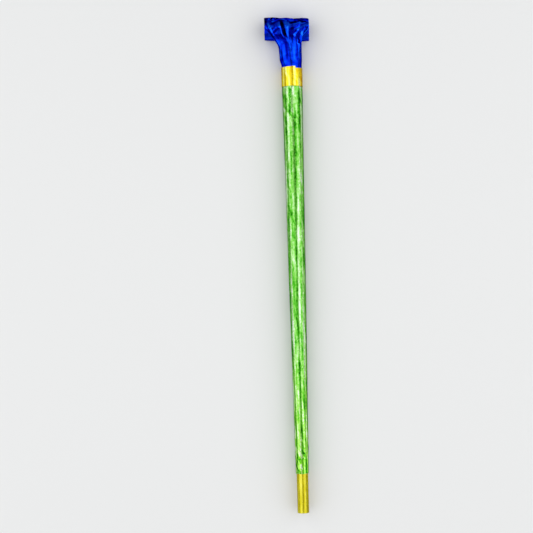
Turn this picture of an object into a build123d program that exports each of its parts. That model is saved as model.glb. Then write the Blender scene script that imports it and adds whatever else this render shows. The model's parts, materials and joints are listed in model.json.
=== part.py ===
from build123d import *
import os
from collections import namedtuple
from math import cos, degrees, radians, sin

# Party horn blower: a foil-wrapped card horn with a reed in its mouthpiece and a foil coil that unrolls.
# Lengths are in millimetres. The horn lies along +Y, with its mouth end at y = 0 and the coil far out.
# The foil strip leaves the neck on the +Z side and rolls under towards -Z.
# The origin is the centre of the mouthpiece's open end.

# Sheet stock and fits
foil_thickness = 0.15
card_thickness = 0.4
sides_per_quarter = 8
wrap_clearance = 0.05
plug_clearance = 0.05

# Mouthpiece
mouthpiece_length = 30.0
tube_diameter = 8.0
tube_insertion = 18.0
tube_rim_chamfer = 0.25
bore_diameter = 6.6
bore_depth = 14.0
seat_diameter = 6.0
foil_setback = 0.4
butt_gap = 0.05

# Reed
reed_setback = 2.0
shallot_length = 18.0
shallot_diameter = 4.8
block_length = 8.0
trough_width = 2.4
trough_depth = 1.5
trough_end_wall = 1.2
tongue_width = 3.4
tongue_thickness = 0.15
tongue_setback = 0.6
tongue_tail = 0.6
tongue_lift = 0.05
tongue_headroom = 0.12
reed_opening = 3.0
ring_length = 3.0
ring_setback = 0.5

# Handle and collar
handle_length = 290.0
handle_coil_diameter = 15.0
handle_bulge = 0.15
band_length = 15.0
band_thickness = 0.2
band_lap = 6.0
core_reach = 1.5

# Neck
neck_length = 27.75
neck_round_length = 2.0
neck_straight_length = 15.0
neck_width = 17.2
neck_height = 8.2
neck_shift = -0.9
root_length = 5.25
root_width = 23.6
root_shift = -3.4

# Coil
coil_radius = 8.75
core_radius = 2.75
coil_width = 33.3
coil_shift = -3.1
strip_thickness = 0.8
turn_gap = 0.45
crease_depth = 0.6
arcs_per_turn = 5
tip_arcs = 6
hinge_gap = 0.04
end_fold_length = 2.5

# Recoil strip
recoil_width = 4.0
recoil_thickness = 0.2
recoil_tail = 4.0

# Places along the horn
handle_middle = mouthpiece_length + handle_length / 2
band_start = mouthpiece_length + handle_length
band_end = band_start + band_length
hinge_y = band_end + neck_length
hinge_z = coil_radius
root_start = hinge_y - root_length
flare_start = band_end + neck_straight_length

# Radii of the layers
tube_radius = tube_diameter / 2
core_depth = foil_thickness + wrap_clearance
wrap_mouth_radius = tube_radius + plug_clearance + card_thickness + core_depth
wrap_radius = handle_coil_diameter / 2
wrap_middle_radius = (wrap_mouth_radius + wrap_radius) / 2 + handle_bulge

os.makedirs("parts", exist_ok=True)


def save(builder, name):
    """Label a finished piece and write it to its own file."""
    builder.part.label = name
    export_step(builder.part, f"parts/{name}.step")


def cross_plane(y):
    """Return the plane square to the horn's axis at y, with its own x along +X and its own y along +Z."""
    return Plane(origin=(0, y, 0), x_dir=(1, 0, 0), z_dir=(0, -1, 0))


def save_turned(name, outline):
    """Write a piece turned about the horn's axis from (radius, y) points."""
    with BuildPart() as turned:
        with BuildSketch(Plane.XY):
            with BuildLine():
                Polyline(*outline, close=True)
            make_face()
        revolve(axis=Axis.Y)
    save(turned, name)


# A station is one cross-section of a rolled sheet: its place, its centre and half its width and height
Station = namedtuple("Station", "y x z half_width half_height")


def station_ring(station, inset):
    """Return the corners of a station's outline, set in by inset.

    The outline is a rectangle whose corners are rounded as far as they go, in flat sides that keep their
    directions from one station to the next, so that the sheet between two stations is all flat faces.
    """
    width = station.half_width - inset
    height = station.half_height - inset
    radius = min(width, height)
    quarter = []
    for side in range(sides_per_quarter):
        angle = radians(90 / sides_per_quarter * (side + 0.5))
        quarter.append((width - radius + radius * cos(angle), height - radius + radius * sin(angle)))
    upper = quarter + [(-across, up) for across, up in reversed(quarter)]
    around = upper + [(-across, -up) for across, up in upper]
    return [(station.x + across, station.y, station.z + up) for across, up in around]


def save_sheet(name, stations, thickness):
    """Write a rolled sheet that passes through stations, open at both ends."""
    rings = [station_ring(station, 0) for station in stations]
    rings += [station_ring(station, thickness) for station in reversed(stations)]
    with BuildPart() as sheet:
        faces = []
        for ring, after in zip(rings, rings[1:] + rings[:1]):
            for corner in range(len(ring)):
                flat = [ring[corner - 1], ring[corner], after[corner], after[corner - 1]]
                faces.append(Face(Wire.make_polygon(flat)))
        add(Solid(Shell(faces)))
    save(sheet, name)


# Mouthpiece tube: a bore for the mouth end, a step, then the narrower seat of the reed
with BuildPart() as mouthpiece_tube:
    with BuildSketch(cross_plane(0)):
        Circle(tube_radius)
    extrude(amount=-(mouthpiece_length + tube_insertion))
    with BuildSketch(cross_plane(0)):
        Circle(seat_diameter / 2)
    extrude(amount=-(mouthpiece_length + tube_insertion), mode=Mode.SUBTRACT)
    with BuildSketch(cross_plane(0)):
        Circle(bore_diameter / 2)
    extrude(amount=-bore_depth, mode=Mode.SUBTRACT)
    mouth_edges = mouthpiece_tube.edges().group_by(Axis.Y)[0]
    chamfer(mouth_edges.sort_by(SortBy.RADIUS)[-1], length=tube_rim_chamfer)
save(mouthpiece_tube, "mouthpiece_tube")

# Mouthpiece foil: the gold sheet rolled round the tube
mouth_foil_inner = tube_radius + wrap_clearance
mouth_foil_outer = mouth_foil_inner + foil_thickness
mouth_foil_end = mouthpiece_length - butt_gap
save_turned(
    "mouthpiece_foil",
    [
        (mouth_foil_inner, foil_setback),
        (mouth_foil_outer, foil_setback),
        (mouth_foil_outer, mouth_foil_end),
        (mouth_foil_inner, mouth_foil_end),
    ],
)

# Reed shallot: a half-round trough, closed at the mouth end, on a round block that plugs the tube
shallot_start = bore_depth + reed_setback
block_start = shallot_start + shallot_length
shallot_radius = shallot_diameter / 2
with BuildPart() as reed_shallot:
    with BuildSketch(cross_plane(block_start)):
        Circle(seat_diameter / 2 - plug_clearance)
    extrude(amount=-block_length)
    with BuildSketch(cross_plane(shallot_start)):
        Circle(shallot_radius)
        with Locations((0, shallot_radius)):
            Rectangle(shallot_diameter, shallot_diameter, mode=Mode.SUBTRACT)
    extrude(amount=-shallot_length)
    with BuildSketch(cross_plane(shallot_start + trough_end_wall)):
        with Locations((0, -trough_depth / 2)):
            Rectangle(trough_width, trough_depth)
    extrude(amount=-(shallot_length + block_length - trough_end_wall), mode=Mode.SUBTRACT)
save(reed_shallot, "reed_shallot")

# Reed ring: clamps the tongue's root on the shallot's flat face
ring_start = block_start - ring_setback - ring_length
tongue_slot_height = tongue_lift + tongue_thickness + tongue_headroom
with BuildPart() as reed_ring:
    with BuildSketch(cross_plane(ring_start)):
        Circle(seat_diameter / 2 - plug_clearance)
        Circle(shallot_radius + plug_clearance, mode=Mode.SUBTRACT)
    extrude(amount=-ring_length)
    with BuildSketch(cross_plane(ring_start)):
        Circle(shallot_radius + 2 * plug_clearance)
        with Locations((0, -seat_diameter / 2)):
            Rectangle(seat_diameter, seat_diameter + 2 * tongue_slot_height, mode=Mode.SUBTRACT)
    extrude(amount=-ring_length)
save(reed_ring, "reed_ring")

# Reed tongue: a thin leaf that stands a little open and beats down on the trough
tongue_hinge_y = ring_start + ring_length / 2
tongue_length = tongue_hinge_y - shallot_start - tongue_setback
open_angle = radians(reed_opening)
tongue_plane = Plane(
    origin=(0, tongue_hinge_y, tongue_lift),
    x_dir=(1, 0, 0),
    z_dir=(0, sin(open_angle), cos(open_angle)),
)
with BuildPart() as reed_tongue:
    with BuildSketch(tongue_plane):
        with Locations((0, (tongue_tail - tongue_length) / 2)):
            Rectangle(tongue_width, tongue_length + tongue_tail)
    extrude(amount=tongue_thickness)
    free_corners = reed_tongue.edges().filter_by(lambda edge: edge.length < 2 * tongue_thickness)
    fillet(free_corners.sort_by(Axis.Y)[:2], radius=tongue_width / 4)
save(reed_tongue, "reed_tongue")

# Handle: a card cone with a slight bulge that runs straight under the collar band, and the foil over it


def handle_stations(depth, end):
    """Return the stations of a handle layer, a depth below the foil's outer face, that ends at y = end."""
    return [
        Station(mouthpiece_length, 0, 0, wrap_mouth_radius - depth, wrap_mouth_radius - depth),
        Station(handle_middle, 0, 0, wrap_middle_radius - depth, wrap_middle_radius - depth),
        Station(band_start, 0, 0, wrap_radius - depth, wrap_radius - depth),
        Station(end, 0, 0, wrap_radius - depth, wrap_radius - depth),
    ]


save_sheet("handle_core", handle_stations(core_depth, band_end + core_reach), card_thickness)
save_sheet("handle_wrap", handle_stations(0, band_start + band_lap), foil_thickness)

# Collar band: the gold foil ring that binds the wrap and the neck
band_inner = wrap_radius + wrap_clearance
save_turned(
    "collar_band",
    [
        (band_inner, band_start),
        (band_inner + band_thickness, band_start),
        (band_inner + band_thickness, band_end),
        (band_inner, band_end),
    ],
)

# Neck: a foil tube, round where the band binds it, that is drawn in and flattens to the strip
strip_middle = hinge_z - strip_thickness / 2
bound_station = Station(band_start + band_lap + butt_gap, 0, 0, wrap_radius, wrap_radius)
round_station = Station(band_end + neck_round_length, 0, 0, wrap_radius, wrap_radius)
drawn_station = Station(flare_start, neck_shift, hinge_z - neck_height / 2, neck_width / 2, neck_height / 2)
flat_station = Station(root_start, root_shift, strip_middle, root_width / 2, strip_thickness / 2)
hinge_station = Station(hinge_y, coil_shift, strip_middle, coil_width / 2, strip_thickness / 2)
save_sheet("neck_sleeve", [bound_station, round_station, drawn_station], foil_thickness)
save_sheet("neck_flare", [drawn_station, flat_station], foil_thickness)
save_sheet("coil_root", [flat_station, hinge_station], foil_thickness)

# Coil: equal arcs of a flattened foil tube, each on a smaller radius, hinged on their outer face
turn_pitch = strip_thickness + turn_gap
arc_angle = 360 / arcs_per_turn
arc_count = round((coil_radius - core_radius) / turn_pitch * arcs_per_turn)
link_count = arc_count - tip_arcs
# An arc is its start on the outer face, its heading in degrees and its outer radius
Arc = namedtuple("Arc", "y z heading radius")


def arc_after(arc, angle, radius_drop=0.0):
    """Return the arc that starts where a turn of angle degrees along this one ends."""
    turned = arc.heading - angle
    return Arc(
        arc.y + arc.radius * (sin(radians(arc.heading)) - sin(radians(turned))),
        arc.z + arc.radius * (cos(radians(turned)) - cos(radians(arc.heading))),
        turned,
        arc.radius - radius_drop,
    )


arcs = [Arc(hinge_y, hinge_z, 0.0, coil_radius)]
while len(arcs) < arc_count:
    arcs.append(arc_after(arcs[-1], arc_angle, turn_pitch / arcs_per_turn))


def arc_plane(arc):
    """Return the plane of an arc's start face, its own y pointing in to the coil's centre."""
    heading = radians(arc.heading)
    return Plane(
        origin=(coil_shift, arc.y, arc.z),
        x_dir=(1, 0, 0),
        z_dir=(0, cos(heading), sin(heading)),
    )


def arc_axis(arc):
    """Return the line that an arc is turned about, so that a positive turn follows the strip."""
    heading = radians(arc.heading)
    centre = (coil_shift, arc.y + arc.radius * sin(heading), arc.z - arc.radius * cos(heading))
    return Axis(centre, (-1, 0, 0))


def arc_sweep(arc, end_gap):
    """Return an arc's angle, less what leaves end_gap before the next arc."""
    return arc_angle - degrees(end_gap / arc.radius)


def save_foil(name, arcs, end_gap=0.0):
    """Write a run of arcs as one hollow flattened tube with a crease at each side."""
    side = coil_width / 2
    flat = side - crease_depth
    with BuildPart() as foil:
        for arc in arcs:
            with BuildSketch(arc_plane(arc)):
                with BuildLine():
                    Polyline(
                        (side, strip_thickness / 2),
                        (flat, strip_thickness),
                        (-flat, strip_thickness),
                        (-side, strip_thickness / 2),
                        (-flat, 0),
                        (flat, 0),
                        close=True,
                    )
                make_face()
                with Locations((0, strip_thickness / 2)):
                    Rectangle(2 * flat, strip_thickness - 2 * foil_thickness, mode=Mode.SUBTRACT)
            revolve(axis=arc_axis(arc), revolution_arc=arc_sweep(arc, end_gap))
    save(foil, name)


def save_recoil(name, arcs, end_gap=0.0):
    """Write a run of arcs of the curled strip that lies on the foil's inner wall and pulls the coil shut."""
    seat = strip_thickness - foil_thickness - wrap_clearance
    with BuildPart() as recoil:
        for arc in arcs:
            with BuildSketch(arc_plane(arc)):
                with Locations((0, seat - recoil_thickness / 2)):
                    Rectangle(recoil_width, recoil_thickness)
            revolve(axis=arc_axis(arc), revolution_arc=arc_sweep(arc, end_gap))
    save(recoil, name)


for number, arc in enumerate(arcs[:link_count], start=1):
    save_foil(f"coil_link_{number:02d}", [arc], hinge_gap)
    save_recoil(f"recoil_strip_{number:02d}", [arc], hinge_gap)
save_foil("coil_tip", arcs[link_count:])
save_recoil("recoil_strip_tip", arcs[link_count:-1])

# Recoil strip root: the strip's straight first stretch, held in the neck's flat end
with BuildPart() as recoil_strip_root:
    root_floor = hinge_z - strip_thickness + foil_thickness + wrap_clearance
    with BuildSketch(Plane.XY.offset(root_floor)):
        with Locations((coil_shift, (root_start - recoil_tail + hinge_y - hinge_gap) / 2)):
            Rectangle(recoil_width, root_length + recoil_tail - hinge_gap)
    extrude(amount=recoil_thickness)
save(recoil_strip_root, "recoil_strip_root")

# End seal: the glued fold that shuts the foil tube at the heart of the coil
fold_angle = degrees(end_fold_length / arcs[-1].radius)
fold_start = arc_after(arcs[-1], arc_angle - fold_angle)
with BuildPart() as coil_end_seal:
    with BuildSketch(arc_plane(fold_start)):
        with Locations((0, strip_thickness / 2)):
            Rectangle(coil_width - 4 * crease_depth, strip_thickness - 2 * core_depth)
    revolve(axis=arc_axis(fold_start), revolution_arc=fold_angle)
save(coil_end_seal, "coil_end_seal")

# The least distance between turns of the closed coil, on points of its outer and inner faces
steps_per_arc = 12
face_points = []
for index, arc in enumerate(arcs):
    for step in range(steps_per_arc):
        place = arc_after(arc, arc_angle * step / steps_per_arc)
        outer = Vector(0, place.y, place.z)
        inward = Vector(0, sin(radians(place.heading)), -cos(radians(place.heading)))
        for point in (outer, outer + inward * strip_thickness):
            face_points.append((index + step / steps_per_arc, point))
turn_gaps = [
    (point - other).length
    for place, point in face_points
    for other_place, other in face_points
    if other_place - place > arcs_per_turn / 2
]
strip_length = sum(arc.radius for arc in arcs) * radians(arc_angle)
print(f"least gap between turns {min(turn_gaps):.2f} mm over {arc_count / arcs_per_turn:.1f} turns")
print(f"strip length {strip_length:.0f} mm in {link_count} links and a tip")
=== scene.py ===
"""Looks of the party horn blower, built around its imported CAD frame.

Lengths are in metres in the frame's own axes. The horn lies along +Y with its mouth at the origin. At the
far end the foil strip leaves the neck on the +Z side and rolls under into a coil.
"""
import json
import logging
import math
from dataclasses import dataclass
from enum import Enum
from typing import Any, Callable, NamedTuple, Sequence

import bpy
import numpy as np
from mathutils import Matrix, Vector

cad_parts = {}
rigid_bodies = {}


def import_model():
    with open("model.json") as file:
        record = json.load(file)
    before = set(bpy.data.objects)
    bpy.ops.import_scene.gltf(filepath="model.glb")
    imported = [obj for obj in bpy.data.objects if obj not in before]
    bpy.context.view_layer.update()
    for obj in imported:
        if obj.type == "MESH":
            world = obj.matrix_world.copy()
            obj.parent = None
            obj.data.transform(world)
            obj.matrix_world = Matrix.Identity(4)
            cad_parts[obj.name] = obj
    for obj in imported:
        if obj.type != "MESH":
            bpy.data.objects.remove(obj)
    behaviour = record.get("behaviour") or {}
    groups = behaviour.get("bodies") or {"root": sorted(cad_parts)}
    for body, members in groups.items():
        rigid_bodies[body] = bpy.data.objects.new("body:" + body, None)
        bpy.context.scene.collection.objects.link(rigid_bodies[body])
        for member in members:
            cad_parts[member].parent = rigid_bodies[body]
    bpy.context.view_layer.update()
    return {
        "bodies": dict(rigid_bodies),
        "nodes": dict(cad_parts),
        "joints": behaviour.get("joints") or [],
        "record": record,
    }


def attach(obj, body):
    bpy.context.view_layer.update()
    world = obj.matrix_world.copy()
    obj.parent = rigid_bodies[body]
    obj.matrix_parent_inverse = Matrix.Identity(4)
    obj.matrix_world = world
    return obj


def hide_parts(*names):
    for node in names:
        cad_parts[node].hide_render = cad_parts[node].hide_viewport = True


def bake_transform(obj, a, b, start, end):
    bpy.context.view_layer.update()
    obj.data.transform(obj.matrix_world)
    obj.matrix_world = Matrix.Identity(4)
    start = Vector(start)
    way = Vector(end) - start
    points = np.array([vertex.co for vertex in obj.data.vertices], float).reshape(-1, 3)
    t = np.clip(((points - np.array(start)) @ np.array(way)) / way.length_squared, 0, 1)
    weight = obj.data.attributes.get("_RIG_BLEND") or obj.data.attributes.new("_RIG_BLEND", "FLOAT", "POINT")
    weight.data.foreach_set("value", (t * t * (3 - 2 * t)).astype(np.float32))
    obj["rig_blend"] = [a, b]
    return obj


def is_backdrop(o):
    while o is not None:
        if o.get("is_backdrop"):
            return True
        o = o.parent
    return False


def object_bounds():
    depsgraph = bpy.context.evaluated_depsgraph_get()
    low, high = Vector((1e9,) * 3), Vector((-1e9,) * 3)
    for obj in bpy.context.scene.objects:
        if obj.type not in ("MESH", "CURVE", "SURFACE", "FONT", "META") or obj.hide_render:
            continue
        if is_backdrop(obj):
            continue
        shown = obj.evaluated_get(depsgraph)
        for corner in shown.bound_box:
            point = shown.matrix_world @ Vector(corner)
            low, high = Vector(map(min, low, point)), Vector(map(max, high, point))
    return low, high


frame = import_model()

Array = np.ndarray
Pair = tuple[float, float]
Stops = tuple[tuple[float, str], ...]
Material = bpy.types.Material
Piece = bpy.types.Object
Socket = bpy.types.NodeSocket
Tree = bpy.types.NodeTree
MM = 0.001
TURN = 2 * math.pi
LOG = logging.getLogger("party_horn")


class Slot(str, Enum):
    """The record's material slots."""

    BLUE_FOIL = "blue_foil"
    GOLD_FOIL = "gold_foil"
    GREEN_FOIL = "green_foil"
    CARD = "card"
    WHITE_PLASTIC = "white_plastic"
    REED_PLASTIC = "reed_plastic"
    RECOIL_PLASTIC = "recoil_plastic"


def linear_colour(hex_colour: str) -> tuple[float, float, float, float]:
    """Turn an sRGB hex colour into a linear one.

    Args:
        hex_colour: The colour as "#RRGGBB".

    Returns:
        Linear red, green, blue and alpha.
    """
    srgb = np.array([int(hex_colour[place : place + 2], 16) for place in (1, 3, 5)]) / 255
    linear = np.where(srgb <= 0.04045, srgb / 12.92, ((srgb + 0.055) / 1.055) ** 2.4)
    return (*linear.tolist(), 1.0)


def add_node(
    tree: Tree,
    kind: str,
    inputs: dict[Any, Any] | None = None,
    stops: Stops = (),
    **settings: Any,
) -> bpy.types.Node:
    """Add one shader node.

    Args:
        tree: The node tree that takes it.
        kind: Blender's name of the node type.
        inputs: For an input's name or number, a socket to link to it or a constant.
        stops: For a colour ramp, its positions and hex colours.
        settings: Properties of the node itself.

    Returns:
        The new node.
    """
    node = tree.nodes.new(kind)
    for name, value in settings.items():
        setattr(node, name, value)
    for key, value in (inputs or {}).items():
        if isinstance(value, Socket):
            tree.links.new(value, node.inputs[key])
        else:
            node.inputs[key].default_value = value
    if stops:
        elements = node.color_ramp.elements
        while len(elements) < len(stops):
            elements.new(1.0)
        for element, (position, hex_colour) in zip(elements, stops):
            element.position = position
            element.color = linear_colour(hex_colour)
    return node


def new_tree(name: str) -> tuple[Material, Tree]:
    """Make a node material with no nodes.

    Args:
        name: Its name.

    Returns:
        The material and its emptied node tree.
    """
    material = bpy.data.materials.new(name)
    material.use_nodes = True
    material.node_tree.nodes.clear()
    return material, material.node_tree


def add_noise(tree: Tree, place: Socket, size_mm: float, **inputs: float) -> Socket:
    """Add a noise texture.

    Args:
        tree: The node tree that takes it.
        place: The coordinates it lies on.
        size_mm: The size of its broadest blots.
        inputs: Other inputs of the node, by name.

    Returns:
        The noise, about 0 to 1.
    """
    values = {"Vector": place, "Scale": 1 / (size_mm * MM), **inputs}
    return add_node(tree, "ShaderNodeTexNoise", values).outputs["Fac"]


def add_relief(
    tree: Tree, height: Socket, depth_mm: float, roughness: float, spread: float
) -> tuple[Socket, Socket]:
    """Let a fine pattern stand out from a surface and vary its gloss.

    Args:
        tree: The node tree that takes it.
        height: The pattern, about 0 to 1.
        depth_mm: How far it stands out.
        roughness: The surface's middle roughness.
        spread: The share of it by which the pattern varies it each way.

    Returns:
        The roughness and the normal.
    """
    low, high = roughness * (1 - spread), min(1.0, roughness * (1 + spread))
    gloss = add_node(tree, "ShaderNodeMapRange", {"Value": height, "To Min": low, "To Max": high})
    bump = add_node(tree, "ShaderNodeBump", {"Height": height, "Distance": depth_mm * MM})
    return gloss.outputs["Result"], bump.outputs["Normal"]


def add_surface(tree: Tree, inputs: dict[str, Any]) -> None:
    """End a material in a principled surface.

    Args:
        tree: The material's node tree.
        inputs: The surface's inputs, as add_node takes them.
    """
    surface = add_node(tree, "ShaderNodeBsdfPrincipled", inputs)
    add_node(tree, "ShaderNodeOutputMaterial", {"Surface": surface.outputs["BSDF"]})


@dataclass(frozen=True)
class FoilFinish:
    """Metallised polyester film: a bright metal layer under tinted lacquer, crumpled by hand.

    The tint colours the mirror below it and deepens where the eye meets it at a slant. A clear coat, where
    there is one, adds a white gloss. Each facet of the crumpling has light painted into its colour:
    lighter or darker by the way it faces, as painted highlight and shade. Patterns lie on the sheet
    coordinates that every foil piece carries, so they follow its bends. Where mouth shades are given, the
    film takes other colours towards the mouth, over the stretch that fade_mm gives, partly as painted light.
    """

    name: str
    slot: Slot
    shades: Stops
    painted_light_share: float
    blotch_share: float
    blotch_spread: float
    blotch_mm: float
    wrinkle_mm: float
    wrinkle_depth_mm: float
    roughness: float
    edge_tint: str
    coat: float = 0.0
    mouth_shades: Stops = ()
    fade_mm: Pair = (0.0, 1.0)
    blotch_stretch: tuple[float, float, float] = (1.0, 1.0, 1.0)
    flake_share: float = 0.0
    flake_mm: float = 1.0
    blotch_detail: float = 4.0
    blotch_roughness: float = 0.6
    wrinkle_detail: float = 3.0
    wrinkle_distortion: float = 0.6
    gloss_spread: float = 0.25
    coat_roughness: float = 0.08

    def build(self) -> Material:
        """Build the film's nodes.

        Returns:
            The film as a material.
        """
        material, tree = new_tree(self.name)
        sheet = add_node(tree, "ShaderNodeAttribute", attribute_name="sheet").outputs["Vector"]
        # Painted light: each facet lighter as painted highlight or darker as painted shade by the way it
        # faces
        crease = add_node(tree, "ShaderNodeAttribute", attribute_name="crease").outputs["Fac"]
        drawn_out = add_node(
            tree, "ShaderNodeMapping", {"Vector": sheet, "Scale": self.blotch_stretch}
        ).outputs["Vector"]
        blotch = add_noise(
            tree, drawn_out, self.blotch_mm, Detail=self.blotch_detail, Roughness=self.blotch_roughness
        )
        low, high = 0.5 - self.blotch_spread, 0.5 + self.blotch_spread
        bold_blotch = add_node(
            tree, "ShaderNodeMapRange", {"Value": blotch, "From Min": low, "From Max": high}
        ).outputs["Result"]
        flake = add_node(
            tree, "ShaderNodeTexVoronoi", {"Vector": sheet, "Scale": 1 / (self.flake_mm * MM)}
        ).outputs["Color"]
        wrinkle = add_noise(
            tree, sheet, self.wrinkle_mm, Detail=self.wrinkle_detail, Distortion=self.wrinkle_distortion
        )
        # Half-way up the ramp where every pattern is at its middle, and moved by each one's share
        shares = self.painted_light_share, self.blotch_share, self.flake_share
        shade = 0.5 * (1 - sum(shares))
        for pattern, share in zip((crease, bold_blotch, flake), shares):
            shade = add_node(
                tree, "ShaderNodeMath", {0: pattern, 1: share, 2: shade}, operation="MULTIPLY_ADD"
            ).outputs[0]
        tint = add_node(tree, "ShaderNodeValToRGB", {"Fac": shade}, self.shades).outputs["Color"]
        # Other colours towards the mouth, partly painted light: darker as painted shade on the gold, limier
        # on the green
        if self.mouth_shades:
            mouth_tint = add_node(tree, "ShaderNodeValToRGB", {"Fac": shade}, self.mouth_shades).outputs["Color"]
            place = add_node(tree, "ShaderNodeSeparateXYZ", {"Vector": sheet}).outputs["Y"]
            away_from_mouth = add_node(
                tree,
                "ShaderNodeMapRange",
                {"Value": place, "From Min": self.fade_mm[0] * MM, "From Max": self.fade_mm[1] * MM},
            ).outputs["Result"]
            tints = {0: away_from_mouth, 6: mouth_tint, 7: tint}
            tint = add_node(tree, "ShaderNodeMix", tints, data_type="RGBA").outputs[2]
        gloss, bump = add_relief(tree, wrinkle, self.wrinkle_depth_mm, self.roughness, self.gloss_spread)
        add_surface(
            tree,
            {
                "Base Color": tint,
                "Metallic": 1.0,
                "Roughness": gloss,
                "Coat Weight": self.coat,
                "Coat Roughness": self.coat_roughness,
                "Coat Normal": bump,
                "Specular Tint": linear_colour(self.edge_tint),
                "Normal": bump,
            },
        )
        return material


@dataclass(frozen=True)
class PlainFinish:
    """A moulded plastic or a board: a slow mottle of two colours, and a fine grain that dulls the gloss."""

    name: str
    slot: Slot
    base: str
    mottled: str
    mottle_mm: float
    grain_mm: float
    grain_depth_mm: float
    roughness: float
    ior: float
    see_through: float = 0.0
    mottle_detail: float = 5.0
    mottle_range: Pair = (0.3, 0.7)
    grain_detail: float = 2.0
    gloss_spread: float = 0.2

    def build(self) -> Material:
        """Build the finish's nodes on object coordinates.

        Returns:
            The finish as a material.
        """
        material, tree = new_tree(self.name)
        place = add_node(tree, "ShaderNodeTexCoord").outputs["Object"]
        mottle = add_noise(tree, place, self.mottle_mm, Detail=self.mottle_detail)
        grain = add_noise(tree, place, self.grain_mm, Detail=self.grain_detail)
        stops = tuple(zip(self.mottle_range, (self.mottled, self.base)))
        colour = add_node(tree, "ShaderNodeValToRGB", {"Fac": mottle}, stops).outputs["Color"]
        gloss, bump = add_relief(tree, grain, self.grain_depth_mm, self.roughness, self.gloss_spread)
        add_surface(
            tree,
            {
                "Base Color": colour,
                "Roughness": gloss,
                "IOR": self.ior,
                "Transmission Weight": self.see_through,
                "Normal": bump,
            },
        )
        return material


# Deep blue film: the facets' painted light runs from near-black shade in the tucks through navy to a
# bright blue highlight
BLUE_FILM = FoilFinish(
    name="blue_polyester_film",
    slot=Slot.BLUE_FOIL,
    shades=((0.0, "#000114"), (0.25, "#020390"), (0.5, "#0428D8"), (0.72, "#0449F0"), (1.0, "#1A74FA")),
    painted_light_share=1.0,
    blotch_share=0.3,
    blotch_spread=0.2,
    blotch_mm=6.0,
    wrinkle_mm=1.6,
    wrinkle_depth_mm=0.03,
    roughness=0.19,
    edge_tint="#01044A",
)
# Yellow-gold film with pale and brown streaks along the sheet; its palest colours are a painted highlight,
# and it is darker and more olive at the mouth as painted shade
GOLD_FILM = FoilFinish(
    name="gold_polyester_film",
    slot=Slot.GOLD_FOIL,
    shades=((0.0, "#A86204"), (0.25, "#DDB808"), (0.5, "#F2E228"), (0.75, "#FBF688"), (1.0, "#FFFFDC")),
    painted_light_share=0.7,
    blotch_share=0.4,
    blotch_spread=0.15,
    blotch_mm=2.0,
    blotch_stretch=(1.0, 0.08, 1.0),
    wrinkle_mm=1.2,
    wrinkle_depth_mm=0.02,
    roughness=0.28,
    coat=0.1,
    edge_tint="#8A5504",
    mouth_shades=(
        (0.0, "#6A5804"),
        (0.25, "#B0A208"),
        (0.5, "#CDC222"),
        (0.75, "#E4DC50"),
        (1.0, "#FCF8B4"),
    ),
    fade_mm=(30.0, 320.0),
)
# Holographic green film: small flakes scatter the light in pale and dark streaks, limier at the mouth;
# its palest colours, and its paler tones away from the mouth, are partly a painted highlight
GREEN_FILM = FoilFinish(
    name="green_holographic_film",
    slot=Slot.GREEN_FOIL,
    shades=((0.0, "#0A5602"), (0.2, "#3AA60A"), (0.5, "#80CE52"), (0.75, "#ACDE90"), (1.0, "#DCF0D4")),
    painted_light_share=0.7,
    blotch_share=0.6,
    blotch_spread=0.17,
    blotch_mm=2.8,
    blotch_stretch=(1.0, 0.17, 1.0),
    flake_share=0.35,
    flake_mm=1.1,
    wrinkle_mm=1.0,
    wrinkle_depth_mm=0.015,
    roughness=0.24,
    coat=0.1,
    edge_tint="#0A3A0C",
    mouth_shades=(
        (0.0, "#044E08"),
        (0.2, "#3AA80E"),
        (0.5, "#8CDA34"),
        (0.75, "#B0E66C"),
        (1.0, "#EAFADC"),
    ),
    fade_mm=(40.0, 130.0),
)
# Grey board, dull and a little uneven, as rolled card is on its raw inside
BOARD = PlainFinish(
    name="grey_board",
    slot=Slot.CARD,
    base="#C9BFA9",
    mottled="#AFA38A",
    mottle_mm=4.0,
    grain_mm=0.35,
    grain_depth_mm=0.04,
    roughness=0.85,
    ior=1.5,
)
# Moulded polypropylene: milky white, with a soft gloss
TUBE_PLASTIC = PlainFinish(
    name="white_polypropylene",
    slot=Slot.WHITE_PLASTIC,
    base="#F1EEE6",
    mottled="#E4E0D5",
    mottle_mm=9.0,
    grain_mm=0.5,
    grain_depth_mm=0.01,
    roughness=0.38,
    ior=1.49,
)
# Moulded polystyrene of the squeaker: ivory, smooth and fairly glossy
REED_PLASTIC = PlainFinish(
    name="ivory_polystyrene",
    slot=Slot.REED_PLASTIC,
    base="#E9E3CF",
    mottled="#DAD2BA",
    mottle_mm=5.0,
    grain_mm=0.4,
    grain_depth_mm=0.01,
    roughness=0.35,
    ior=1.59,
)
# Clear polyester strip, a little hazy from being drawn
RECOIL_PLASTIC = PlainFinish(
    name="hazy_polyester_strip",
    slot=Slot.RECOIL_PLASTIC,
    base="#DDE3E6",
    mottled="#CBD3D8",
    mottle_mm=6.0,
    grain_mm=0.3,
    grain_depth_mm=0.01,
    roughness=0.3,
    ior=1.58,
    see_through=0.5,
)
FINISHES = (BLUE_FILM, GOLD_FILM, GREEN_FILM, BOARD, TUBE_PLASTIC, REED_PLASTIC, RECOIL_PLASTIC)

# Cells after which a pattern of facets repeats, and how far its creases are pushed aside, in cells
FACET_CELLS = 64
CREASE_PUSH = 0.4
# How far the crests of gathers sway, as a share of their spacing, and the slowest and fastest sway
CREST_SWAY = 0.25
SWAY_RATES = (0.7, 1.4)
# Distance over which a facet's slope is measured
SLOPE_STEP = 0.35 * MM
# Radius of a pressed fold's crest, and the shares of its length past and inside each end where it fades
CREST_RADIUS = 0.35 * MM
FOLD_OUTSIDE = 0.15
FOLD_INSIDE = 0.2


def smooth(value: Array, low: float, high: float) -> Array:
    """Return 0 below low, 1 above high and a smooth rise between; with low above high, a fall."""
    share = np.clip((value - low) / (high - low), 0, 1)
    return share * share * (3 - 2 * share)


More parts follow.
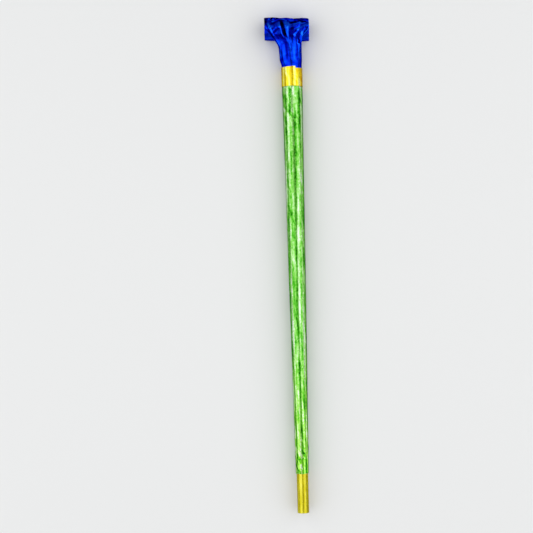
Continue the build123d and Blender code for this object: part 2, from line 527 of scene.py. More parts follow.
def triangle_wave(phase: Array) -> Array:
    """Return a wave of straight slopes, -1 at whole phases and 1 half-way between them."""
    return 4 * np.abs(phase - np.round(phase)) - 1


def lattice(table: Array, across: Array, along: Array) -> Array:
    """Return heights over a square lattice whose cells are each cut into two flat triangles.

    Within a triangle the height rises evenly from one corner to the next, first along the side that the
    point lies nearer to. The table repeats past its edges.

    Args:
        table: The heights of the corners, columns first.
        across: Places across, in cells.
        along: Places along, in cells.

    Returns:
        One height for each point.
    """
    column, row = np.floor(across).astype(int), np.floor(along).astype(int)
    east, north = across - column, along - row
    columns, rows = table.shape
    here = table[column % columns, row % rows]
    beyond = table[(column + 1) % columns, (row + 1) % rows]
    lower = east > north
    aside = table[(column + lower) % columns, (row + ~lower) % rows]
    return here + np.maximum(east, north) * (aside - here) + np.minimum(east, north) * (beyond - aside)


def facets(across: Array, along: Array, seed: int, columns: int = FACET_CELLS) -> Array:
    """Return the height, -1 to 1, of a sheet creased into flat facets.

    It is a lattice of random heights, read at places that two more lattices have pushed aside, so that the
    creases don't line up.

    Args:
        across: Places across the sheet, in cells.
        along: Places along it, in cells.
        seed: Number that fixes the random heights.
        columns: Cells across after which the pattern repeats.

    Returns:
        One height for each point.
    """
    tables = np.random.default_rng(seed).uniform(-1, 1, size=(3, columns, FACET_CELLS))
    heights, push_across, push_along = tables
    across, along = np.broadcast_arrays(across, along)
    pushed_across = across + CREASE_PUSH * lattice(push_across, across, along)
    pushed_along = along + CREASE_PUSH * lattice(push_along, across, along)
    return lattice(heights, pushed_across, pushed_along)


def pleats(around: Array, along: Array, counts: Sequence[int], wander: float, seed: int) -> Array:
    """Return the height, about -1 to 1, of gathers that run along a tube.

    The height is a sum of triangle waves with whole counts round the tube, whose crests sway along it.

    Args:
        around: Angles round the tube.
        along: Places along it, in metres.
        counts: How many folds each wave has.
        wander: The length, in metres, over which crests sway.
        seed: Number that fixes the phases.

    Returns:
        One height for each pair of angle and place.
    """
    draws = np.random.default_rng(seed)
    height = np.zeros(np.broadcast(around, along).shape)
    for count in counts:
        sway = CREST_SWAY * np.sin(along / wander * draws.uniform(*SWAY_RATES) + draws.uniform(0, TURN))
        height += triangle_wave(count * around / TURN + sway + draws.uniform())
    return height / math.sqrt(len(counts))


def facet_shade(
    height: Callable[[Array, Array], Array], along: Array, around: Array, radius: Array, gain: float
) -> Array:
    """Return the painted light, 0 dark to 1 bright, that each facet of a crumpled tube takes from its slope.

    A facet that faces the coil and the right is bright and its opposite dark. The slopes are differences of
    the height function itself, so that they agree where two pieces meet.

    Args:
        height: The height of the surface at places along and angles round.
        along: Places along the tube, one to a row.
        around: Angles round it, one to a column.
        radius: The distance that a radian round the tube covers, one to a point.
        gain: How strongly a slope shows.

    Returns:
        One shade for each point.
    """
    step = SLOPE_STEP
    turn = step / radius
    slope_along = (height(along + step, around) - height(along - step, around)) / (2 * step)
    slope_around = (height(along, around + turn) - height(along, around - turn)) / (2 * step)
    return 0.5 + 0.5 * np.tanh(gain * (slope_around - slope_along))


def grid_quads(rows: int, columns: int, wrap_rows: bool = True) -> Array:
    """Return the corners of each quad of a grid whose last column joins the first.

    A quad faces the way of rows cross columns.

    Args:
        rows: Points along.
        columns: Points round.
        wrap_rows: Whether the last row joins the first too.

    Returns:
        Four point numbers for each quad.
    """
    row = np.arange(rows if wrap_rows else rows - 1)[:, None]
    column = np.arange(columns)[None, :]
    row_after = (row + 1) % rows
    column_after = (column + 1) % columns
    corners = np.broadcast_arrays(
        row * columns + column,
        row_after * columns + column,
        row_after * columns + column_after,
        row * columns + column_after,
    )
    return np.stack(corners, axis=-1).reshape(-1, 4)


class Surface(NamedTuple):
    """A tube's outer face: rows along it and columns round it, with the light painted on each point as its
    shade.
    """

    points: Array
    normals: Array
    sheet: Array
    shade: Array


def make_object(name: str, points: Array, quads: Array, columns: int, sharp_rows: Sequence[int]) -> Piece:
    """Return a mesh object at the origin.

    Args:
        name: Its name.
        points: Corner points, in metres.
        quads: Four point numbers for each face.
        columns: Points to a row of the grid.
        sharp_rows: Rows whose edges stay sharp.

    Returns:
        The object, linked to the scene.
    """
    mesh = bpy.data.meshes.new(name)
    mesh.vertices.add(len(points))
    mesh.vertices.foreach_set("co", points.astype(np.float32).ravel())
    mesh.loops.add(quads.size)
    mesh.loops.foreach_set("vertex_index", quads.astype(np.int32).ravel())
    mesh.polygons.add(len(quads))
    mesh.polygons.foreach_set("loop_start", np.arange(0, quads.size, 4, dtype=np.int32))
    mesh.update(calc_edges=True)
    mesh.polygons.foreach_set("use_smooth", np.ones(len(quads), dtype=bool))
    ends = np.empty(2 * len(mesh.edges), dtype=np.int32)
    mesh.edges.foreach_get("vertices", ends)
    rows = ends.reshape(-1, 2) // columns
    sharp = (rows[:, 0] == rows[:, 1]) & np.isin(rows[:, 0], sharp_rows)
    mesh.attributes.new("sharp_edge", "BOOLEAN", "EDGE").data.foreach_set("value", sharp)
    mesh.validate()
    piece = bpy.data.objects.new(name, mesh)
    bpy.context.scene.collection.objects.link(piece)
    return piece


def make_shell(name: str, surface: Surface, thickness: float) -> Piece:
    """Return a tube of sheet, closed at its rims.

    The outer rows are followed by the inner ones in reverse order, each point moved in along its normal,
    and the last row joins the first.

    Args:
        name: The piece's name.
        surface: Its outer face.
        thickness: The sheet's thickness, in metres.

    Returns:
        The piece, carrying its sheet coordinates and painted facet light as attributes.
    """
    rows, columns = surface.shade.shape
    inner = surface.points - thickness * surface.normals
    points = np.concatenate([surface.points, inner[::-1]]).reshape(-1, 3)
    rims = (0, rows - 1, rows, 2 * rows - 1)
    piece = make_object(name, points, grid_quads(2 * rows, columns), columns, rims)
    sheet = np.concatenate([surface.sheet, surface.sheet[::-1]]).astype(np.float32)
    shade = np.concatenate([surface.shade, surface.shade[::-1]]).astype(np.float32)
    attributes = piece.data.attributes
    attributes.new("sheet", "FLOAT_VECTOR", "POINT").data.foreach_set("vector", sheet.ravel())
    # The facets' painted light and shade, as a point attribute
    attributes.new("crease", "FLOAT", "POINT").data.foreach_set("value", shade.ravel())
    return piece


class Wardrobe:
    """The finished materials, by slot."""

    def __init__(self) -> None:
        """Build every finish once."""
        self.materials: dict[Slot, Material] = {finish.slot: finish.build() for finish in FINISHES}

    def dress(self, piece: Piece, slot: Slot) -> None:
        """Give a piece the finish of a slot.

        Args:
            piece: The piece to dress.
            slot: The record's material slot.
        """
        piece.data.materials.clear()
        piece.data.materials.append(self.materials[slot])

    def dress_nodes(self) -> None:
        """Give every CAD node that still shows the finish of its own slot."""
        for subpart in frame["record"]["subparts"]:
            node = frame["nodes"][subpart["node"]]
            if not node.hide_render:
                node.data.materials.clear()
                node.data.materials.append(self.materials[Slot(subpart["material_slot"])])
                LOG.info("finished node %s", node.name)


@dataclass
class RolledSheet:
    """A foil sheet rolled round the horn's axis, its last edge lapped over its first.

    The radius follows a profile along the horn and grows by the sheet's own thickness once round, so the
    lap is a small step. Crumpling stands out from it, more at the ends where the foil was pressed down. It
    dies away between the two places in bound, past which something holds the sheet flat.
    """

    name: str
    node: str
    slot: Slot
    profile: tuple[Pair, ...]
    thickness: float
    lap_angle: float
    lap_drift: float
    facets_round: int
    facet_length: float
    facet_height: float
    crush_length: float
    crush_heights: tuple[Pair, ...]
    bound: Pair
    flutes: tuple[int, ...]
    flute_height: float
    flute_wander: float
    shade_gain: float
    ragged: float
    skew: float
    row_step: float
    columns: int
    seed: int
    fine_rate: float = 2.3
    facet_mix: tuple[float, float, float] = (0.5, 0.35, 0.15)
    crush_mix: Pair = (0.4, 0.6)

    def height(self, along: Array, around: Array) -> Array:
        """Work out how far the foil stands out from its profile.

        It is a sum of flutes, long facets with finer ones on them, and short facets at crushed ends.

        Args:
            along: Places along the horn.
            around: Angles round it.

        Returns:
            One height for each point.
        """
        turn, place, count = around / TURN, along / self.facet_length, self.facets_round
        broad = facets(turn * count, place, self.seed, count)
        fine = facets(turn * 2 * count, place * self.fine_rate, self.seed + 1, 2 * count)
        fluted = pleats(around, along, self.flutes, self.flute_wander, self.seed + 2)
        crushed = facets(turn * count, along / self.crush_length, self.seed + 4, count)
        crush_height = np.interp(along, *zip(*self.crush_heights))
        free = smooth(along, self.bound[1], self.bound[0])
        lift, broad_share, fine_share = self.facet_mix
        crush_lift, crush_share = self.crush_mix
        return free * (
            self.flute_height * fluted
            + self.facet_height * (lift + broad_share * broad + fine_share * fine)
            + crush_height * (crush_lift + crush_share * crushed)
        )

    def radius(self, along: Array) -> Array:
        """Return the profile's radius at places along the horn, by straight lines between its points."""
        places, radii = zip(*self.profile)
        return np.interp(along, places, radii)

    def surface(self) -> Surface:
        """Work out the outer face, with its first column at the lap and its last one above it.

        Returns:
            The face, in rows along the horn.
        """
        start, end = self.profile[0][0], self.profile[-1][0]
        turn = np.linspace(0, 1, self.columns)[None, :]
        share = np.linspace(0, 1, round((end - start) / self.row_step) + 1)[:, None]
        rim = self.ragged * facets(turn * self.facets_round, 0 * turn, self.seed + 3, self.facets_round)
        along = start + rim + share * (end + self.skew * (turn - 0.5) - start - rim)
        around = self.lap_angle + self.lap_drift * share + TURN * turn
        height = self.height(along, around)
        radius = self.radius(along) + self.thickness * turn + height
        normals = np.stack([np.cos(around), 0 * along, np.sin(around)], axis=-1)
        points = radius[..., None] * normals
        points[..., 1] = along
        # Painted light: each facet lighter or darker by the way it faces
        shade = facet_shade(self.height, along, around, radius, self.shade_gain)
        return Surface(points, normals, points, shade)

    def build(self, wardrobe: Wardrobe) -> None:
        """Make the sheet, dress it and put it in its node's place.

        Args:
            wardrobe: The finishes.
        """
        piece = make_shell(self.name, self.surface(), self.thickness)
        wardrobe.dress(piece, self.slot)
        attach(piece, "horn")
        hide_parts(self.node)
        LOG.info("built %s", self.name)


class Fold(NamedTuple):
    """A pressed fold in the strip, in millimetres: two ends across and along, its half width and height."""

    start: Pair
    end: Pair
    half_width: float
    height: float

    def raised(self, across: Array, along: Array) -> Array:
        """Work out the fold's height: a ridge with a rounded crest, whose two ends run out.

        Args:
            across: Places across the strip, in metres.
            along: Places along it, in metres.

        Returns:
            One height for each point.
        """
        first, last = np.array(self.start) * MM, np.array(self.end) * MM
        run = last - first
        length = np.hypot(*run)
        right, ahead = across - first[0], along - first[1]
        forward = (right * run[0] + ahead * run[1]) / length
        aside = np.hypot((right * run[1] - ahead * run[0]) / length, CREST_RADIUS)
        rise = smooth(forward, -FOLD_OUTSIDE * length, FOLD_INSIDE * length)
        fall = smooth(forward, (1 + FOLD_OUTSIDE) * length, (1 - FOLD_INSIDE) * length)
        return self.height * MM * rise * fall * np.clip(1 - aside / (self.half_width * MM), 0, 1)


# Folds where the tube is pressed flat and turns into the roll, with a deep tuck left of its middle
NECK_FOLDS = (
    Fold((-15.5, 3.0), (-5.0, 8.0), 1.5, 0.42),
    Fold((-17.5, 2.5), (-13.5, -6.5), 1.3, 0.35),
    Fold((-14.5, -4.5), (-8.0, 2.0), 1.4, 0.4),
    Fold((-19.5, 4.0), (-15.5, 9.5), 1.2, 0.35),
    Fold((-7.5, 4.5), (-4.5, -6.5), 1.7, -0.75),
    Fold((-0.5, -0.5), (7.5, 4.5), 1.4, 0.4),
    Fold((3.5, -2.0), (13.0, 2.5), 1.4, 0.42),
    Fold((1.0, -6.0), (5.0, -0.5), 1.3, 0.35),
    Fold((4.5, -11.0), (8.0, -3.0), 1.4, 0.32),
    Fold((6.0, 7.0), (12.5, 10.0), 1.3, 0.32),
    Fold((-4.0, 8.0), (2.0, 11.0), 1.2, 0.3),
    Fold((-12.5, 7.5), (-9.5, 11.0), 1.3, -0.45),
    Fold((-1.5, 3.5), (3.5, 5.0), 1.2, -0.4),
    Fold((7.0, 4.5), (11.0, 5.5), 1.2, -0.4),
    Fold((-18.5, -3.5), (-15.0, -4.5), 1.2, -0.35),
    Fold((-15.8, 7.0), (-13.8, 11.0), 1.3, -0.5),
    Fold((3.4, -11.5), (5.0, -8.5), 1.1, -0.45),
)


class TubeFrame(NamedTuple):
    """The foil tube's cross-sections at places along it: centre, outward direction and size."""

    centre: Array
    outward: Array
    half_width: Array
    half_height: Array
    bluntness: Array


class NeckStation(NamedTuple):
    """A cross-section of the neck: its place from the hinge, middle, half sizes and bluntness."""

    place: float
    shift: float
    middle: float
    half_width: float
    half_height: float
    bluntness: float


@dataclass
class FoilStrip:
    """The blue foil tube: round at the collar, drawn in and flat, then rolled in arcs of falling radius.

    Places along it are measured from the first hinge, and are negative in the neck. Each cross-section is a
    flat oval, whose width is a cosine and whose height is a power of the sine of the angle round it. The
    roll sits askew: slant is how far its left side is ahead, for each metre across, where the neck hands
    over to it. From there the slant dies away to the heart of the roll. A pair of places named opens or
    closes is where something has gone and where it is whole.
    """

    coil_radius: float = 8.75 * MM
    radius_drop: float = 0.25 * MM
    arc_angle: float = TURN / 5
    link_count: int = 18
    tip_arcs: int = 6
    half_width: float = 16.65 * MM
    half_thickness: float = 0.4 * MM
    wall: float = 0.1 * MM
    seal_length: float = 2.0 * MM
    seal_pinch: float = 0.7
    collar: float = -29.75 * MM
    collar_radius: float = 7.5 * MM
    neck_end: float = -3.5 * MM
    corner_reach: float = 1.5 * MM
    corner_samples: int = 13
    slant: float = 0.045
    slant_start: float = -14.0 * MM
    bend_spread: float = 0.75
    outer_face: Pair = (-0.1, 0.35)
    neck_opens: Pair = (-26.0 * MM, -20.0 * MM)
    neck_closes: Pair = (-5.0 * MM, -10.0 * MM)
    roll_opens: Pair = (-9.0 * MM, -4.0 * MM)
    roll_closes: Pair = (44.0 * MM, 34.0 * MM)
    gathers: tuple[int, ...] = (5, 8, 13)
    gathers_close: Pair = (12.0 * MM, -2.0 * MM)
    gather_wander: float = 14.0 * MM
    gather_height: float = 0.1 * MM
    gather_seed: int = 4
    broad_facet: float = 5.5 * MM
    broad_seed: int = 11
    fine_facet: float = 2.4 * MM
    fine_seed: int = 23
    roll_crumple: tuple[float, float, float] = (0.35 * MM, 0.3 * MM, 0.09 * MM)
    neck_crumple: Pair = (0.12 * MM, 0.04 * MM)
    inner_crumple: float = 0.05 * MM
    tuck_depth: float = 0.4 * MM
    # How much the shade is darkened inside the tucks, as painted shadow
    tuck_shadow: float = 0.9
    sheet_depth: float = 5.0 * MM
    least_reach: float = 1.0 * MM
    row_step: float = 0.4 * MM
    folded_row_step: float = 0.22 * MM
    folded_end: float = 12.0 * MM
    columns: int = 360
    shade_gain: float = 5.5

    def __post_init__(self) -> None:
        """Work out the neck's stations and where each arc starts."""
        hinges = [joint["pos_m"] for joint in frame["joints"] if joint["name"] == "unroll_01"]
        self.hinge: Array = np.array(hinges[0])
        flat = self.hinge[2] - self.half_thickness
        # The collar, the end of the round sleeve, the bulge past it, drawn in, flat, and the hinge
        stations = (
            NeckStation(self.collar, 0.0, 0.0, self.collar_radius, self.collar_radius, 1.0),
            NeckStation(-27.25 * MM, 0.0, 0.0, self.collar_radius, self.collar_radius, 1.0),
            NeckStation(-23.25 * MM, -0.5 * MM, 0.9 * MM, 8.3 * MM, 6.9 * MM, 0.96),
            NeckStation(-12.75 * MM, -0.9 * MM, 4.65 * MM, 8.6 * MM, 4.1 * MM, 0.8),
            NeckStation(-5.25 * MM, -3.4 * MM, flat, 11.8 * MM, self.half_thickness, 0.45),
            NeckStation(0.0, self.hinge[0], flat, self.half_width, self.half_thickness, 0.45),
        )
        self.neck_table: Array = np.array(stations).T
        count = self.link_count + self.tip_arcs
        self.radii: Array = self.coil_radius - self.radius_drop * np.arange(count)
        self.headings: Array = -self.arc_angle * np.arange(count + 1)
        self.starts: Array = np.concatenate([[0.0], np.cumsum(self.radii * self.arc_angle)])
        steps_y = -self.radii * np.diff(np.sin(self.headings))
        steps_z = self.radii * np.diff(np.cos(self.headings))
        self.start_y: Array = self.hinge[1] + np.concatenate([[0.0], np.cumsum(steps_y)])
        self.start_z: Array = self.hinge[2] + np.concatenate([[0.0], np.cumsum(steps_z)])

    def neck_values(self, along: Array) -> Array:
        """Read the neck's stations, by straight lines between them with corners rounded by a running mean.

        Args:
            along: Places along the tube.

        Returns:
            Shift, middle, half width, half height and bluntness, one to a row.
        """
        near = along[:, None] + np.linspace(-self.corner_reach, self.corner_reach, self.corner_samples)
        places, *rows = self.neck_table
        return np.stack([np.interp(near, places, row).mean(axis=1) for row in rows])

    def frame_at(self, along: Array) -> TubeFrame:
        """Work out cross-sections of the tube.

        In the neck they follow its stations. In the roll the outer face runs round one arc after another,
        and the centre lies half a thickness inside it.

        Args:
            along: Places along the tube.

        Returns:
            The cross-sections there.
        """
        arc = np.clip(np.searchsorted(self.starts, along, side="right") - 1, 0, len(self.radii) - 1)
        rolled = np.maximum(along, 0.0)
        radius = self.radii[arc]
        first = self.headings[arc]
        heading = first - (rolled - self.starts[arc]) / radius
        outward = np.stack([0 * heading, -np.sin(heading), np.cos(heading)], axis=-1)
        outer_y = self.start_y[arc] + radius * (np.sin(first) - np.sin(heading))
        outer_z = self.start_z[arc] + radius * (np.cos(heading) - np.cos(first))
        shift, middle, width, height, bluntness = self.neck_values(along)
        in_neck = along < 0
        centre = np.stack(
            [
                shift,
                np.where(in_neck, self.hinge[1] + along, outer_y - self.half_thickness * outward[:, 1]),
                np.where(in_neck, middle, outer_z - self.half_thickness * outward[:, 2]),
            ],
            axis=-1,
        )
        end = self.starts[-1]
        height = height * (1 - self.seal_pinch * smooth(along, end - self.seal_length, end))
        return TubeFrame(centre, outward, width, height, bluntness)

    def height(self, along: Array, around: Array) -> Array:
        """Work out how far the crumpled wall stands out.

        Gathers run from the collar into the roll and die out there. Crumpling is bold on the outer face of
        the first turn, which lies open, and slight where turns face each other.

        Args:
            along: Places along the tube.
            around: Angles round it.

        Returns:
            One height for each point.
        """
        outer = smooth(np.sin(around), *self.outer_face)
        width = self.neck_values(np.ravel(along))[2].reshape(np.shape(along))
        across = width * np.cos(around)
        past_collar = smooth(along, *self.neck_opens)
        open_neck = past_collar * smooth(along, *self.neck_closes)
        open_roll = outer * smooth(along, *self.roll_opens) * smooth(along, *self.roll_closes)
        gathered = past_collar * smooth(along, *self.gathers_close)
        lines = pleats(around, along, self.gathers, self.gather_wander, self.gather_seed)
        broad = facets(across / self.broad_facet, along / self.broad_facet, self.broad_seed)
        fine = facets(across / self.fine_facet, along / self.fine_facet, self.fine_seed)
        lift, roll_broad, roll_fine = self.roll_crumple
        neck_broad, neck_fine = self.neck_crumple
        return (
            self.gather_height * (outer * gathered + open_neck * (1 - outer)) * lines
            + outer * self.folded(across, along)
            + open_roll * (lift + roll_broad * broad + roll_fine * fine)
            + open_neck * (neck_broad * broad + neck_fine * fine)
            + self.inner_crumple * (1 - open_neck) * fine
        )

    def folded(self, across: Array, along: Array) -> Array:
        """Return the summed height of the pressed folds at points across and along the strip."""
        return sum(fold.raised(self.hinge[0] + across, along) for fold in NECK_FOLDS)

    def tucked(self, across: Array, along: Array, around: Array) -> Array:
        """Return how deep points of the outer face lie in a tuck, 0 at the surface and 1 at tuck_depth."""
        return smooth(-self.folded(across, along), 0.0, self.tuck_depth) * (np.sin(around) > 0)

    def surface(self, first: float, last: float) -> Surface:
        """Work out the outer face of a stretch of the tube, with finer rows where the folds are.

        Args:
            first: Where the stretch starts.
            last: Where it ends.

        Returns:
            The face, in rows along the tube.
        """
        step = self.folded_row_step if first < self.folded_end else self.row_step
        along = np.linspace(first, last, max(2, math.ceil((last - first) / step) + 1))
        around = np.linspace(0, TURN, self.columns, endpoint=False)[None, :]
        tube = self.frame_at(along)
        width, height, blunt = (values[:, None] for values in tube[2:])
        sine, cosine = np.sin(around), np.cos(around)
        normal_x, normal_out = cosine / width, sine / height
        length = np.hypot(normal_x, normal_out)
        normal_x, normal_out = normal_x / length, normal_out / length
        raised = self.height(along[:, None], around)
        across = width * cosine + raised * normal_x
        out = height * np.sign(sine) * np.abs(sine) ** blunt + raised * normal_out
        side = np.array([1.0, 0.0, 0.0])
        outward = tube.outward[:, None, :]
        points = tube.centre[:, None, :] + across[..., None] * side + out[..., None] * outward
        slant_places = self.slant_start, self.neck_end, self.starts[-1]
        slant = np.interp(along, slant_places, (0.0, self.slant, 0.0))
        points[..., 1] -= slant[:, None] * (points[..., 0] - self.hinge[0])
        normals = normal_x[..., None] * side + normal_out[..., None] * outward
        sheet_places = np.broadcast_arrays(width * cosine, along[:, None], self.sheet_depth * sine)
        sheet = np.stack(sheet_places, axis=-1)
        reach = np.hypot(width * sine, height * cosine) + self.least_reach
        # Painted light: each facet lighter or darker by the way it faces
        shade = facet_shade(self.height, along[:, None], around, reach, self.shade_gain)
        # Painted shadow: darker inside the tucks
        shade *= 1 - self.tuck_shadow * self.tucked(width * cosine, along[:, None], around)
        return Surface(points, normals, sheet, shade)

    def link_middles(self) -> Array:
        """Return where the strip's pieces meet: the neck's end, each link's middle and the far end."""
        halves = self.starts[: self.link_count] + 0.5 * np.diff(self.starts)[: self.link_count]
        return np.concatenate([[self.neck_end], halves, [self.starts[-1]]])

    def bend(self, piece: Piece, number: int) -> None:
        """Let a piece that runs from one link's middle to the next one's bend over the hinge between.

        The bend is spread past both ends of the piece by the same share of its length, but at the neck only
        past the far end. Neighbours then still meet, and the strip is nearly flat when it is unrolled.

        Args:
            piece: The piece that crosses the hinge.
            number: The hinge, counted from 1 at the neck.
        """
        bodies = ["horn", *(f"coil_{link:02d}" for link in range(1, self.link_count + 1)), "coil_end"]
        before = self.link_middles()[number - 1]
        after = self.starts[number - 1] + 0.5 * self.radii[number - 1] * self.arc_angle
        start, end = self.frame_at(np.array([before, after])).centre
        spread = self.bend_spread * (end - start)
        if number > 1:
            start = start - spread
        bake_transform(piece, bodies[number - 1], bodies[number], start=tuple(start), end=tuple(end + spread))

    def build(self, wardrobe: Wardrobe) -> None:
        """Make the neck and one bending piece of strip over each hinge.

        Args:
            wardrobe: The finishes.
        """
        neck = make_shell("neck_foil", self.surface(self.collar, self.neck_end), self.wall)
        wardrobe.dress(neck, Slot.BLUE_FOIL)
        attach(neck, "horn")
        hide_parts("neck_sleeve", "neck_flare", "coil_root")
        LOG.info("built neck_foil")
        places = self.link_middles()
        for number in range(1, self.link_count + 2):
            surface = self.surface(places[number - 1], places[number])
            piece = make_shell(f"coil_foil_{number:02d}", surface, self.wall)
            wardrobe.dress(piece, Slot.BLUE_FOIL)
            self.bend(piece, number)
            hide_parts(f"coil_link_{number:02d}" if number <= self.link_count else "coil_tip")
            LOG.info("built %s", piece.name)


@dataclass
class RecoilStrip:
    """The curled plastic strip that lies on the foil tube's inner wall and rolls it up again."""

    strip: FoilStrip
    half_width: float = 2.0 * MM
    thickness: float = 0.2 * MM
    root_reach: float = -9.25 * MM
    tip_gap_arcs: int = 1
    row_step: float = 0.8 * MM

    def build(self, wardrobe: Wardrobe) -> None:
        """Make one bending piece over each hinge: a flat bar carried along the tube, with both ends closed.

        Args:
            wardrobe: The finishes.
        """
        places = self.strip.link_middles()
        places[0] = self.root_reach
        places[-1] = self.strip.starts[-1 - self.tip_gap_arcs]
        across = np.array([1, 1, -1, -1]) * self.half_width
        out = np.array([-1, 0, 0, -1]) * self.thickness
        for number in range(1, self.strip.link_count + 2):
            first, last = places[number - 1], places[number]
            along = np.linspace(first, last, math.ceil((last - first) / self.row_step) + 1)
            tube = self.strip.frame_at(along)
            points = tube.centre[:, None, :] + out[:, None] * tube.outward[:, None, :]
            points[..., 0] = self.strip.hinge[0] + across
            rows = len(along)
            caps = np.array([[0, 1, 2, 3], [4 * rows - 1, 4 * rows - 2, 4 * rows - 3, 4 * rows - 4]])
            quads = np.concatenate([grid_quads(rows, 4, wrap_rows=False), caps])
            piece = make_object(f"recoil_{number:02d}", points.reshape(-1, 3), quads, 4, (0, rows - 1))
            wardrobe.dress(piece, Slot.RECOIL_PLASTIC)
            self.strip.bend(piece, number)
            node = f"recoil_strip_{number:02d}" if number <= self.strip.link_count else "recoil_strip_tip"
            root = ("recoil_strip_root",) if number == 1 else ()
            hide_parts(node, *root)
            LOG.info("built %s", piece.name)


# The green foil over the card cone, tucked in under the band
HANDLE_WRAP = RolledSheet(
    name="handle_foil",
    node="handle_wrap",
    slot=Slot.GREEN_FOIL,
    profile=(
        (30.0 * MM, 4.65 * MM),
        (102.5 * MM, 5.475 * MM),
        (175.0 * MM, 6.225 * MM),
        (247.5 * MM, 6.9 * MM),
        (319.5 * MM, 7.45 * MM),
        (321.0 * MM, 7.3 * MM),
        (326.0 * MM, 7.3 * MM),
    ),
    thickness=0.12 * MM,
    lap_angle=math.radians(35),
    lap_drift=0.5,
    facets_round=11,
    facet_length=13.0 * MM,
    facet_height=0.16 * MM,
    crush_length=4.5 * MM,
    crush_heights=(
        (30.0 * MM, 0.25 * MM),
        (36.0 * MM, 0.4 * MM),
        (46.0 * MM, 0.35 * MM),
        (68.0 * MM, 0.0),
        (280.0 * MM, 0.0),
        (306.0 * MM, 0.22 * MM),
        (320.0 * MM, 0.12 * MM),
    ),
    bound=(318.5 * MM, 320.2 * MM),
    flutes=(5, 8, 13),
    flute_height=0.06 * MM,
    flute_wander=40.0 * MM,
    shade_gain=12.0,
    ragged=0.5 * MM,
    skew=0.0,
    row_step=0.9 * MM,
    columns=121,
    # The seed leaves the flutes' painted light dark along the top and pale on each side of it, as highlight
    # stripes
    seed=160,
)
# The gold foil band over the joint, its lapped end a little askew
COLLAR_BAND = RolledSheet(
    name="collar_foil",
    node="collar_band",
    slot=Slot.GOLD_FOIL,
    profile=((320.0 * MM, 7.72 * MM), (334.0 * MM, 7.72 * MM)),
    thickness=0.12 * MM,
    lap_angle=math.radians(71),
    lap_drift=0.0,
    facets_round=9,
    facet_length=8.0 * MM,
    facet_height=0.16 * MM,
    crush_length=4.0 * MM,
    crush_heights=((320.0 * MM, 0.05 * MM), (335.0 * MM, 0.08 * MM)),
    bound=(340.0 * MM, 341.0 * MM),
    flutes=(7, 11),
    flute_height=0.05 * MM,
    flute_wander=20.0 * MM,
    shade_gain=11.0,
    ragged=0.25 * MM,
    skew=-1.4 * MM,
    row_step=0.5 * MM,
    columns=121,
    # The seed leaves the flutes' painted light dark along the top and pale on each side of it, as highlight
    # stripes
    seed=343,
)
# The gold foil round the mouthpiece tube
MOUTH_FOIL = RolledSheet(
    name="mouthpiece_wrap",
    node="mouthpiece_foil",
    slot=Slot.GOLD_FOIL,
    profile=((0.4 * MM, 4.2 * MM), (29.95 * MM, 4.2 * MM)),
    thickness=0.1 * MM,
    lap_angle=math.radians(60),
    lap_drift=0.1,
    facets_round=7,
    facet_length=9.0 * MM,
    facet_height=0.08 * MM,
    crush_length=3.5 * MM,
    crush_heights=((0.4 * MM, 0.06 * MM), (20.0 * MM, 0.03 * MM)),
    bound=(31.0 * MM, 32.0 * MM),
    flutes=(5, 8),
    flute_height=0.03 * MM,
    flute_wander=20.0 * MM,
    shade_gain=8.0,
    ragged=0.2 * MM,
    skew=0.3 * MM,
    row_step=0.5 * MM,
    columns=97,
    seed=59,
)


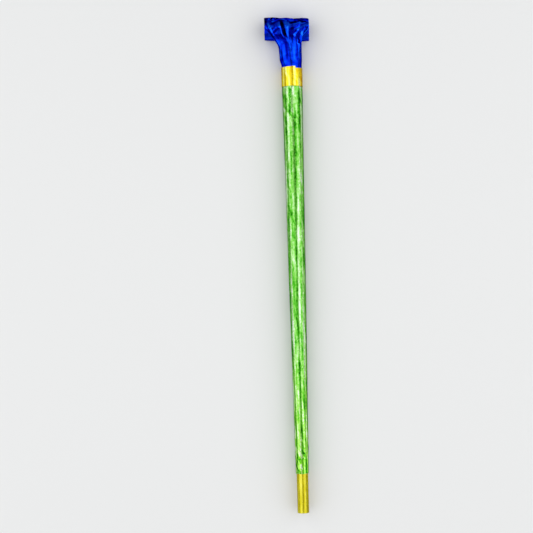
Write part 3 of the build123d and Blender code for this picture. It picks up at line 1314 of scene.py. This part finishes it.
@dataclass
class Studio:
    """A pale floor, two long soft boxes beside the camera and a camera that looks straight down.

    The two named pixels are where the handle's axis meets the mouthpiece and the band in a square image,
    and the camera's height, roll and place follow from them.
    """

    image_size: float = 533.0
    foot_pixel: Pair = (302.3, 473.0)
    band_pixel: Pair = (292.2, 87.0)
    foot_place: float = 30.0 * MM
    band_place: float = 320.0 * MM
    lens_mm: float = 85.0
    sensor_mm: float = 36.0
    box_watts: float = 6.8
    box_size: Pair = (1.8, 1.26)
    box_offset: float = 0.64
    box_height: float = 0.735
    sky: str = "#B0B2B6"
    sky_strength: float = 0.9
    floor_colour: str = "#ECECEA"
    floor_roughness: float = 0.9
    floor_half: float = 8.0

    def build(self) -> None:
        """Make the whole studio."""
        self.add_camera()
        self.add_lights()
        self.add_floor()
        bpy.context.scene.view_settings.view_transform = "Standard"

    def add_camera(self) -> None:
        """Place the camera above the horn so that both named pixels fall where they should."""
        foot, band = np.array(self.foot_pixel), np.array(self.band_pixel)
        lean = (band - foot) * (1, -1)
        scale = (self.band_place - self.foot_place) / np.hypot(*lean)
        roll = math.atan2(lean[0], lean[1])
        right = np.array([math.cos(roll), math.sin(roll)])
        up = np.array([-math.sin(roll), math.cos(roll)])
        to_centre = (np.full(2, self.image_size / 2) - foot) * (1, -1) * scale
        centre = np.array([0.0, self.foot_place]) + to_centre[0] * right + to_centre[1] * up
        data = bpy.data.cameras.new("camera")
        data.lens, data.sensor_width = self.lens_mm, self.sensor_mm
        camera = bpy.data.objects.new("camera", data)
        camera.location = (*centre, self.image_size * scale * self.lens_mm / self.sensor_mm)
        camera.rotation_euler = (0.0, 0.0, roll)
        bpy.context.scene.collection.objects.link(camera)
        bpy.context.scene.camera = camera

    def add_lights(self) -> None:
        """Hang a soft box on each side and light the rest evenly from the sky."""
        middle = (self.foot_place + self.band_place) / 2
        for name, side in (("left_box", -1), ("right_box", 1)):
            data = bpy.data.lights.new(name, "AREA")
            data.shape = "RECTANGLE"
            data.size, data.size_y = self.box_size
            data.energy = self.box_watts
            lamp = bpy.data.objects.new(name, data)
            lamp.location = (side * self.box_offset, middle, self.box_height)
            aim = Vector((0.0, middle, 0.0)) - lamp.location
            lamp.rotation_euler = aim.to_track_quat("-Z", "Y").to_euler()
            bpy.context.scene.collection.objects.link(lamp)
        world = bpy.data.worlds.new("sky")
        world.use_nodes = True
        tree = world.node_tree
        tree.nodes.clear()
        glow = {"Color": linear_colour(self.sky), "Strength": self.sky_strength}
        light = add_node(tree, "ShaderNodeBackground", glow)
        add_node(tree, "ShaderNodeOutputWorld", {"Surface": light.outputs["Background"]})
        bpy.context.scene.world = world

    def add_floor(self) -> None:
        """Lay a plain matt floor under the lowest point."""
        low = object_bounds()[0].z
        corners = np.array([[-1, -1], [1, -1], [1, 1], [-1, 1]]) * self.floor_half
        points = np.column_stack([corners, np.full(4, low)])
        floor = make_object("floor", points, np.array([[0, 1, 2, 3]]), 4, ())
        material, tree = new_tree("matt_floor")
        paint = {"Base Color": linear_colour(self.floor_colour), "Roughness": self.floor_roughness}
        add_surface(tree, paint)
        floor.data.materials.append(material)
        floor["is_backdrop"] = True


def clear_start_scene() -> None:
    """Remove what Blender's own start scene holds."""
    kept = {*frame["bodies"].values(), *frame["nodes"].values()}
    for thing in list(bpy.data.objects):
        if thing not in kept:
            bpy.data.objects.remove(thing)


def main() -> None:
    """Build the horn's pieces in order, then the studio."""
    logging.basicConfig(level=logging.INFO, format="%(name)s: %(message)s")
    clear_start_scene()
    wardrobe = Wardrobe()
    for sheet in (MOUTH_FOIL, HANDLE_WRAP, COLLAR_BAND):
        sheet.build(wardrobe)
    strip = FoilStrip()
    strip.build(wardrobe)
    RecoilStrip(strip).build(wardrobe)
    wardrobe.dress_nodes()
    Studio().build()


if __name__ == "__main__":
    main()
